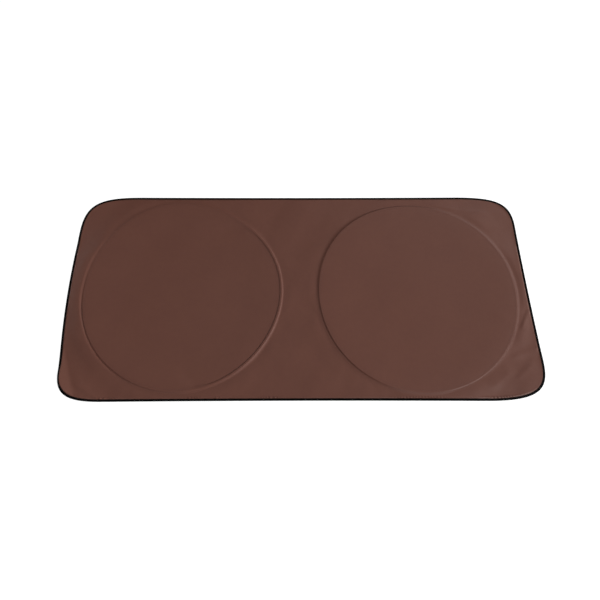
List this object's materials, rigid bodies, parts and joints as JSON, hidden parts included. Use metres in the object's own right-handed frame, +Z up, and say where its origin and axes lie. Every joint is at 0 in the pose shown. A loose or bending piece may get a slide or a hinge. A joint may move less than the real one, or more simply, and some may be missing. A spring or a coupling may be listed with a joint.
{
  "type": "windscreen sunshade",
  "caption": "Twist-to-fold windscreen sunshade: a rounded oblong of brown coated cloth with black edge binding, held flat by two round sewn-in spring hoops.",
  "frame": {"origin": "middle of the shade's own box on the surface it lies on, which is its lowest point", "axes": "+X along the long edges to the viewer's right, +Y from the front edge to the rear edge, +Z up out of the brown side"},
  "size_m": [1.4954, 0.7048, 0.0095],
  "materials": {
    "brown_cloth": "brown coated taffeta with a satin sheen",
    "black_tape": "matt black ribbed binding tape",
    "casing_tape": "matt black woven tape",
    "spring_steel": "bright cold-rolled spring steel",
    "ferrule_steel": "plain crimped steel"
  },
  "bodies": {
    "root": {"shade_cloth": "brown_cloth", "edge_binding": "black_tape", "left_hoop_casing": "casing_tape", "left_hoop": "spring_steel", "left_hoop_ferrule": "ferrule_steel", "right_hoop_casing": "casing_tape", "right_hoop": "spring_steel", "right_hoop_ferrule": "ferrule_steel"}
  },
  "joints": []
}
